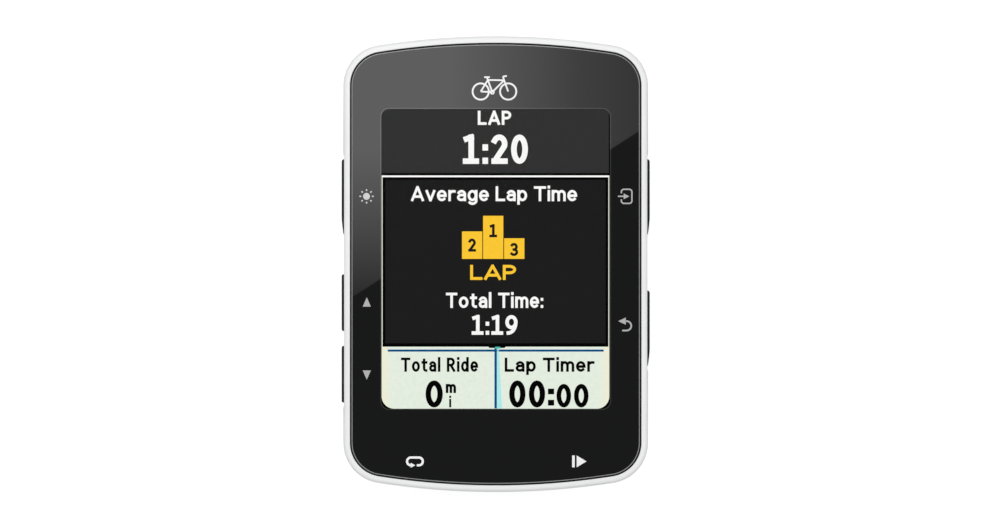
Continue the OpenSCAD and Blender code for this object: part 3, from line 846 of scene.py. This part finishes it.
def back():
    """An arrow that turns back."""
    path = [(-0.15, 0.6), (0.09, 0.6)]
    path += arc(0.09, -0.155, 0.755, math.pi / 2, -math.pi / 2, 20) + [(-0.6, -0.91)]
    arrow = [(-0.03, 1.17), (-1.25, 0.6), (-0.03, 0.03)]
    return [stroke(path, 0.26), arrow]


def lap():
    """A loop that ends in an arrow."""
    path = [(0.3, -0.62)] + arc(0.64, 0, 0.62, -math.pi / 2, math.pi / 2, 20)
    path += arc(-0.64, 0, 0.62, math.pi / 2, 1.5 * math.pi, 20)
    arrow = [(-0.68, -0.22), (-0.68, -1.02), (0.06, -0.62)]
    return [stroke(path, 0.36), arrow]


def start_stop():
    """A bar and a triangle."""
    return [block(-1.15, -0.72, -0.95, 0.95), [(-0.42, -0.95), (1.15, 0), (-0.42, 0.95)]]


def bicycle():
    """A plain side view of a bicycle."""
    rear, front, crank = (-2.2, -0.75), (2.2, -0.75), (-0.35, -0.85)
    seat, head = (-1.05, 1.1), (1.55, 1.05)
    lines = [
        (rear, crank), (rear, seat), (seat, crank), (crank, head), (seat, head),
        (head, front), (head, (1.35, 1.65)), ((1.35, 1.65), (2.0, 1.75)), (seat, (-1.2, 1.5)),
        ((-1.65, 1.55), (-0.75, 1.55)),
    ]
    shapes = [stroke([a, b], 0.26) for a, b in lines]
    for cx, cy in (rear, front):
        shapes += hoop(cx, cy, 1.3, 0.28)
    return shapes + hoop(crank[0], crank[1], 0.28, 0.2)


def lens_marks():
    left, right, low = -20.65, 20.87, -31.7
    ink("mark_light", sun(), left - 0.04, 10.76, INK_PALE_GREY)
    ink("mark_up", triangle(1), left, -6.16, INK_GREY)
    ink("mark_down", triangle(-1), left, -17.88, INK_GREY)
    ink("mark_enter", enter(), right, 10.76, INK_GREY)
    ink("mark_back", back(), right, -9.83, INK_GREY)
    ink("mark_lap", lap(), -12.94, low, INK_WHITE)
    ink("mark_start", start_stop(), 13.39, low, INK_WHITE)
    ink("mark_bicycle", bicycle(), -0.2, 28.3, INK_WHITE)


# ---------------------------------------------------------------- display

LAYER = 0.02
WHITE = lit("screen_white", linear(250, 250, 248))
BLACK = lit("screen_black", linear(6, 6, 6))
TOP_GREY = lit("screen_top", linear(50, 50, 50))
MID_GREY = lit("screen_middle", linear(30, 30, 30))
CREAM = lit("screen_cream", linear(226, 228, 214))
PALE = side_tinted("screen_pale", linear(229, 238, 224), linear(241, 238, 212))
BLUE = lit("screen_blue", linear(8, 76, 130))
CYAN = lit("screen_cyan", linear(174, 234, 235))
YELLOW = lit("screen_yellow", linear(252, 200, 53))
TEAL = lit("screen_teal", linear(70, 190, 175))


def screen(name, shapes, level, material):
    """An area of the display. A higher level lies over a lower one."""
    base = SCREEN_Z + LAYER * level
    marks(name, shapes, 0, 0, base, base + LAYER * 0.8, material, "display_glass")


def bow(cx, cy, rx, ry, start, end):
    """Part of an ellipse, between angles in degrees."""
    angles = [math.radians(start + (end - start) * i / 24) for i in range(25)]
    return [(cx + rx * math.cos(a), cy + ry * math.sin(a)) for a in angles]


# Each letter's width and the middle lines of its strokes, where a capital is one unit high
P_BOWL = [(0, 1), (0.2, 1)] + bow(0.2, 0.735, 0.2, 0.265, 90, -90) + [(0, 0.47)]
LETTERS = {
    " ": (0.06, []),
    ":": (0, [[(0, 0), (0, 0.03)], [(0, 0.56), (0, 0.59)]]),
    "0": (0.42, [bow(0.21, 0.5, 0.21, 0.5, 0, 360)]),
    "1": (0.4, [[(0.21, 0), (0.21, 1)], [(0, 0), (0.4, 0)], [(0.03, 0.93), (0.2, 1)]]),
    "2": (0.4, [bow(0.19, 0.72, 0.2, 0.28, 150, -20) + [(0.04, 0.04)], [(0, 0), (0.4, 0)]]),
    "3": (0.4, [bow(0.17, 0.745, 0.2, 0.255, 140, -90), bow(0.17, 0.245, 0.23, 0.245, 90, -140)]),
    "9": (0.42, [bow(0.21, 0.67, 0.21, 0.33, 0, 360), bow(0.05, 0.67, 0.37, 0.67, 0, -88)]),
    "A": (0.54, [[(0, 0), (0.26, 1)], [(0.54, 0), (0.28, 1)], [(0.12, 0.27), (0.42, 0.27)]]),
    "L": (0.36, [[(0, 0), (0, 1)], [(0, 0), (0.36, 0)]]),
    "P": (0.4, [[(0, 0), (0, 1)], P_BOWL]),
    "R": (0.44, [[(0, 0), (0, 1)], P_BOWL, [(0.2, 0.45), (0.43, 0)]]),
    "T": (0.5, [[(0, 1), (0.5, 1)], [(0.25, 0), (0.25, 1)]]),
    "a": (0.34, [[(0.34, 0)] + bow(0.17, 0.45, 0.17, 0.25, 0, 150),
                 [(0.34, 0.4), (0.18, 0.4)] + bow(0.17, 0.2, 0.17, 0.2, 90, 270) + [(0.33, 0.08)]]),
    "d": (0.38, [bow(0.18, 0.35, 0.18, 0.35, 0, 360), [(0.38, 0), (0.38, 1.05)]]),
    "e": (0.38, [bow(0.19, 0.35, 0.19, 0.35, 0, 310), [(0.05, 0.34), (0.36, 0.34)]]),
    "g": (0.38, [bow(0.18, 0.35, 0.18, 0.35, 0, 360),
                 [(0.38, 0.7)] + bow(0.19, -0.05, 0.19, 0.25, 0, -140)]),
    "i": (0, [[(0, 0), (0, 0.7)], [(0, 1.02), (0, 1.05)]]),
    "l": (0, [[(0, 0), (0, 1.05)]]),
    "m": (0.6, [[(0, 0), (0, 0.7)], bow(0.15, 0.45, 0.15, 0.25, 160, 0) + [(0.3, 0)],
                bow(0.45, 0.45, 0.15, 0.25, 160, 0) + [(0.6, 0)]]),
    "o": (0.4, [bow(0.2, 0.35, 0.2, 0.35, 0, 360)]),
    "p": (0.38, [bow(0.2, 0.35, 0.18, 0.35, 0, 360), [(0, -0.28), (0, 0.7)]]),
    "r": (0.24, [[(0, 0), (0, 0.7)], bow(0.2, 0.42, 0.2, 0.28, 160, 75)]),
    "t": (0.26, [[(0.1, 0.92), (0.1, 0.18)] + bow(0.25, 0.18, 0.15, 0.18, 180, 270),
                 [(0, 0.7), (0.25, 0.7)]]),
    "v": (0.38, [[(0, 0.7), (0.18, 0)], [(0.38, 0.7), (0.2, 0)]]),
}


def square_ends(path, reach):
    """An open path made longer at both ends."""
    if math.dist(path[0], path[-1]) < 1e-6:
        return path
    (ax, ay), (bx, by), (cx, cy), (dx, dy) = path[0], path[1], path[-2], path[-1]
    start, end = reach / math.dist((ax, ay), (bx, by)), reach / math.dist((cx, cy), (dx, dy))
    first = (ax + (ax - bx) * start, ay + (ay - by) * start)
    last = (dx + (dx - cx) * end, dy + (dy - cy) * end)
    return [first] + path[1:-1] + [last]


# The display's generic words: name, words, left, right, baseline, height, material, stroke
WORDS = [
    ("label_top", "LAP", -2.87, 2.49, 22.2, 2.28, WHITE, 0.19),
    ("digits_top", "1:20", -5.27, 5.16, 15.95, 4.72, WHITE, 0.19),
    ("label_title", "Average Lap Time", -13.56, 13.05, 9.98, 2.4, WHITE, 0.17),
    ("label_best", "LAP", -4.09, 3.27, -2.63, 2.41, YELLOW, 0.19),
    ("label_total", "Total Time:", -7.97, 7.62, -7.12, 2.44, WHITE, 0.17),
    ("digits_total", "1:19", -3.85, 3.5, -11.42, 3.16, WHITE, 0.18),
    ("label_left", "Total Ride", -15.18, -2.82, -17.35, 2.27, BLACK, 0.18),
    ("digit_left", "0", -11.24, -8.47, -23.08, 4.36, BLACK, 0.2),
    ("unit_upper", "m", -8.0, -6.35, -20.75, 1.9, BLACK, 0.22),
    ("unit_lower", "i", -7.45, -6.9, -23.05, 1.8, BLACK, 0.18),
    ("label_right", "Lap Timer", 1.44, 15.8, -17.35, 2.27, BLACK, 0.19),
    ("digits_minutes", "00", 2.16, 7.92, -23.08, 4.36, BLACK, 0.2),
]


def lettering(name, words, x0, x1, baseline, height, level, material, width):
    """Words spread from x0 to x1. height is a capital's, and width is a stroke's share of it."""
    thick = width * height
    room = 0.6 * thick
    letters = [LETTERS[letter] for letter in words]
    fixed = len(words) * thick + (len(words) - 1) * room
    across_all = sum(letter[0] for letter in letters)
    stretch = (x1 - x0 - fixed) / across_all if across_all else 1
    shapes = []
    left = x0 + thick / 2
    for across, lines in letters:
        for line in lines:
            path = [(left + x * stretch, baseline + thick / 2 + y * (height - thick)) for x, y in line]
            shapes.append(stroke(square_ends(path, thick / 2), thick))
        left += across * stretch + thick + room
    screen(name, shapes, level, material)


def podium():
    """Three steps of different heights, each with its number."""
    middle, floor = -0.4, 0.74
    steps = [block(-5.0, -1.75, 0, 4.4), block(-1.62, 1.62, 0, 6.9), block(1.75, 5.0, 0, 3.3)]
    screen("screen_podium", [[(x + middle, y + floor) for x, y in step] for step in steps], 4, YELLOW)
    half, height = 0.62, 2.1
    for digit, x, y in (("2", -3.78, 1.9), ("1", -0.4, 4.2), ("3", 2.98, 1.2)):
        lettering("podium_" + digit, digit, x - half, x + half, y, height, 5, MID_GREY, 0.2)


def display():
    """A dark band on top, a dark box with a pale frame below it, and a pale band with two fields."""
    half = WINDOW_W / 2
    top = WINDOW_Y - MARKS_UP + WINDOW_L / 2
    low = top - WINDOW_L
    left, right = -half + 0.13, half - 0.2
    divide, mid_low = 14.11, -13.33
    rule, black, strip, frame_in = 0.29, 0.4, 0.15, 0.59
    back = block(-half + 0.05, half - 0.05, low + 0.05, top - 0.15)
    marks("screen_back", [back], 0, 0, PANEL_Z, SCREEN_Z + LAYER * 0.8, BLACK, "display_glass")
    screen("screen_top", [block(-half, half - 0.28, divide + 0.38, top - 0.12)], 1, TOP_GREY)
    screen("screen_border", [block(left, right, mid_low, divide)], 1, CREAM)
    screen("screen_line", [block(left, right, divide - rule, divide)], 3, WHITE)
    screen("screen_inner", [block(left + strip, right - strip, mid_low, divide - rule)], 2, BLACK)
    middle = block(left + frame_in, right - frame_in, mid_low + 0.55, divide - rule - black)
    screen("screen_middle", [middle], 3, MID_GREY)
    corner, corner_y = 2.0, low + 2.1
    pale = [(left, mid_low)]
    pale += arc(left + corner, corner_y, corner, math.pi, 1.5 * math.pi, 16)
    pale += arc(right - corner, corner_y, corner, 1.5 * math.pi, 2 * math.pi, 16)
    pale += [(right, mid_low)]
    screen("screen_pale", [pale], 1, PALE)
    screen("screen_rule", [block(-17.3, 17.3, -14.12, -13.78)], 2, BLUE)
    foot = low + 0.15
    screen("screen_wedge", [[(0.15, mid_low), (0.5, mid_low), (1.0, foot), (0.15, foot)]], 2, CYAN)
    screen("screen_divider", [block(-0.2, 0.18, foot, mid_low)], 3, BLUE)
    notch_low = mid_low - 0.2
    notch = [(-1.2, mid_low), (-1.0, notch_low), (1.4, notch_low), (1.6, mid_low)]
    screen("screen_notch", [notch], 4, BLACK)
    screen("screen_marker", [block(-0.1, 0.7, mid_low - 0.3, mid_low)], 5, TEAL)
    podium()
    for name, words, x0, x1, baseline, height, material, width in WORDS:
        lettering(name, words, x0, x1, baseline, height, 4, material, width)
    colon = [block(8.37, 9.37, y, y + 0.92) for y in (-22.76, -20.96)]
    screen("digits_colon", colon, 4, BLACK)
    lettering("digits_seconds", "00", 9.74, 14.88, -23.08, 3.8, 4, BLACK, 0.2)


# ---------------------------------------------------------------- stage

# The camera's place beside the body's centre, the width that it sees, and its lens
CAMERA_X = 0.69
CAMERA_Y = 0.26
VIEW_WIDTH = 160.3
VIEW_Z = RIM_TOP - 2
FOCAL = 600.0
SENSOR = 36.0


def stage_floor():
    """Pale paper that looks white to the camera, with a soft shadow under the body."""
    bm = bmesh.new()
    bmesh.ops.create_grid(bm, x_segments=1, y_segments=1, size=3.0)
    floor = piece_from("floor", bm)
    material, bsdf = shader("floor_paper")
    paper = noise(material, 0.02)
    link(material, vary_colour(material, paper, (0.6, 0.6, 0.6), 0.01), bsdf.inputs["Base Color"])
    bsdf.inputs["Roughness"].default_value = 0.9
    bsdf.inputs["Specular IOR Level"].default_value = 0.1
    bsdf.inputs["Emission Color"].default_value = (1.0, 1.0, 1.0, 1.0)
    paths = add_node(material, "ShaderNodeLightPath")
    glow = remap(material, paths.outputs["Is Camera Ray"], 0.0, 0.74, 0.0, 1.0)
    link(material, glow, bsdf.inputs["Emission Strength"])
    floor.data.materials.append(material)


def camera():
    """Looks straight down at the display from far away. Returns the camera's height."""
    data = bpy.data.cameras.new("camera")
    data.lens = FOCAL
    data.sensor_width = SENSOR
    data.clip_end = 20
    height = VIEW_Z + VIEW_WIDTH * FOCAL / SENSOR
    eye = bpy.data.objects.new("camera", data)
    eye.location = Vector((CAMERA_X, CAMERA_Y + BODY_Y, height)) * MM
    bpy.context.scene.collection.objects.link(eye)
    bpy.context.scene.camera = eye
    return height


def reflector(camera_z):
    """Card over the lens, seen only in reflections, with a slanted lower edge and a soft fall-off."""
    gap = 180.0
    brightness = 2.7
    spread = 1 + gap / (camera_z - LENS_TOP)
    middle, slope, reach, far = 8.03, 0.5637, 34.0, 60.0
    drop = slope * reach
    corners = [(-reach, middle - drop), (reach, middle + drop), (reach, far), (-reach, far)]
    bm = bmesh.new()
    bm.faces.new([bm.verts.new(((x - CAMERA_X) * MM, (y - CAMERA_Y) * MM, 0)) for x, y in corners])
    card = piece_from("reflector", bm)
    card.scale = (spread, spread, 1)
    card.location = Vector((CAMERA_X, CAMERA_Y + BODY_Y, LENS_TOP + gap)) * MM
    material = bpy.data.materials.new("reflector")
    material.use_nodes = True
    material.node_tree.nodes.clear()
    output = add_node(material, "ShaderNodeOutputMaterial")
    glow = add_node(material, "ShaderNodeEmission")
    coords = add_node(material, "ShaderNodeTexCoord")
    split = add_node(material, "ShaderNodeSeparateXYZ")
    link(material, coords.outputs["Object"], split.inputs["Vector"])
    left_x, bend_x, right_x = -0.008, 0.0128, 0.0225
    low_y, high_y = -0.005, 0.018
    near_fade = remap(material, split.outputs["X"], 1.0, 0.42, left_x, bend_x)
    far_fade = remap(material, split.outputs["X"], 0.0, 0.12, bend_x, right_x)
    across = add_node(material, "ShaderNodeMath", operation="SUBTRACT")
    link(material, near_fade, across.inputs[0])
    link(material, far_fade, across.inputs[1])
    down = remap(material, split.outputs["Y"], 0.2, 1.0, low_y, high_y)
    both = add_node(material, "ShaderNodeMath", operation="MULTIPLY")
    link(material, across.outputs[0], both.inputs[0])
    link(material, down, both.inputs[1])
    level = add_node(material, "ShaderNodeMath", operation="MULTIPLY")
    level.inputs[1].default_value = brightness
    link(material, both.outputs[0], level.inputs[0])
    link(material, level.outputs[0], glow.inputs["Strength"])
    link(material, glow.outputs["Emission"], output.inputs["Surface"])
    card.data.materials.append(material)
    card.visible_camera = False
    card.visible_diffuse = False
    card.visible_shadow = False
    card.visible_transmission = False


def studio_world():
    """White to the camera, a bright top for soft light, and a dark top in reflections."""
    world = bpy.data.worlds.new("studio")
    bpy.context.scene.world = world
    world.use_nodes = True
    world.node_tree.nodes.clear()
    output = add_node(world, "ShaderNodeOutputWorld")
    paths = add_node(world, "ShaderNodeLightPath")
    coords = add_node(world, "ShaderNodeTexCoord")
    split = add_node(world, "ShaderNodeSeparateXYZ")
    link(world, coords.outputs["Generated"], split.inputs["Vector"])
    light = remap(world, split.outputs["Z"], 0.36, 1.2, 0.0, 1.0)
    reflection = remap(world, split.outputs["Z"], 0.5, 0.2, 0.0, 0.9)
    glossy = mix_numbers(world, paths.outputs["Is Glossy Ray"], light, reflection)
    level = add_node(world, "ShaderNodeMath", operation="MAXIMUM")
    link(world, paths.outputs["Is Camera Ray"], level.inputs[0])
    link(world, glossy, level.inputs[1])
    background = add_node(world, "ShaderNodeBackground")
    link(world, level.outputs[0], background.inputs["Strength"])
    link(world, background.outputs["Background"], output.inputs["Surface"])


def softbox(name, x, y, z, size, power):
    """A square soft light at a place in millimetres, aimed at the body."""
    data = bpy.data.lights.new(name, "AREA")
    data.size = size * MM
    data.energy = power
    light = bpy.data.objects.new(name, data)
    light.location = Vector((x, y, z)) * MM
    aim = Vector((0, BODY_Y, 10)) * MM - light.location
    light.rotation_euler = aim.to_track_quat("-Z", "Y").to_euler()
    bpy.context.scene.collection.objects.link(light)


def stage():
    """Floor, camera and studio light."""
    stage_floor()
    reflector(camera())
    studio_world()
    softbox("key", -60, 340, 640, 360, 1.3)
    bpy.context.scene.view_settings.view_transform = "Standard"


# ---------------------------------------------------------------- everything together


def dress_cad_nodes():
    """Gives every carried-over part the material of its slot."""
    for part in frame["record"]["subparts"]:
        node = frame["nodes"][part["node"]]
        node.data.materials.clear()
        node.data.materials.append(MATERIALS[part["material_slot"]])


dress_cad_nodes()
front_shell()
back_shell()
for button in BUTTONS:
    button_cap(button)
port_cover()
cover_hinge()
mount_core()
front_lens()
lens_marks()
display()
stage()
